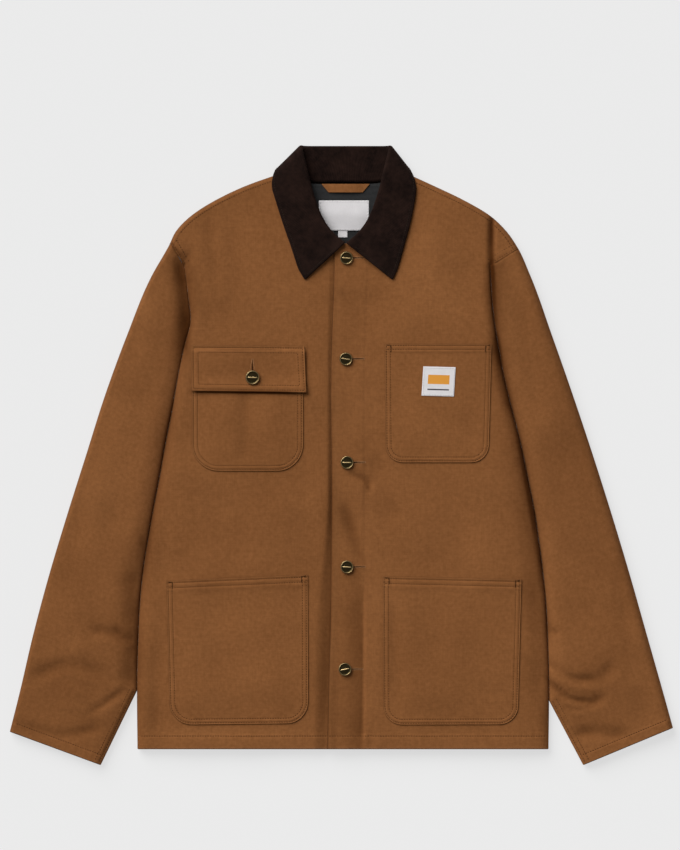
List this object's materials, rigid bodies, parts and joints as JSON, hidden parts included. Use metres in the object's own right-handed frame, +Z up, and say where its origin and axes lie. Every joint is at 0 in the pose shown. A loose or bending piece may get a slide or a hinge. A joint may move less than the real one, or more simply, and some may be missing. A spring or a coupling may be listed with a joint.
{
  "type": "chore jacket",
  "caption": "Chore jacket of brown duck canvas laid flat, buttoned, with a dark corduroy collar, patch pockets, a flapped chest pocket and brass shank buttons.",
  "frame": {"origin": "on the table, under the middle of the whole jacket", "axes": "+X towards the wearer's left sleeve, +Y from the hem to the collar, +Z up off the table, out of the front"},
  "size_m": [0.8618, 0.8047, 0.0254],
  "materials": {
    "duck_canvas": "stiff plain-weave duck canvas, warm brown, matt with a faint sheen",
    "corduroy": "fine-wale cotton corduroy, dark brown, matt",
    "blanket_lining": "woven blanket lining, dark blue-grey",
    "white_label": "woven label tape, off-white, plain or with a woven stripe",
    "aged_brass": "darkened brass with bright rubbed rims"
  },
  "bodies": {
    "root": {"front_right": "duck_canvas", "front_left": "duck_canvas", "back": "duck_canvas", "top_sleeve_right": "duck_canvas", "top_sleeve_left": "duck_canvas", "under_sleeve_right": "duck_canvas", "under_sleeve_left": "duck_canvas", "chest_pocket_right": "duck_canvas", "pocket_flap": "duck_canvas", "chest_pocket_left": "duck_canvas", "lower_pocket_right": "duck_canvas", "lower_pocket_left": "duck_canvas", "hanger_loop": "duck_canvas", "collar": "corduroy", "neck_lining": "blanket_lining", "neck_label": "white_label", "size_tab": "white_label", "chest_patch": "white_label", "button_1": "aged_brass", "button_2": "aged_brass", "button_3": "aged_brass", "button_4": "aged_brass", "button_5": "aged_brass", "flap_button": "aged_brass"}
  },
  "joints": []
}
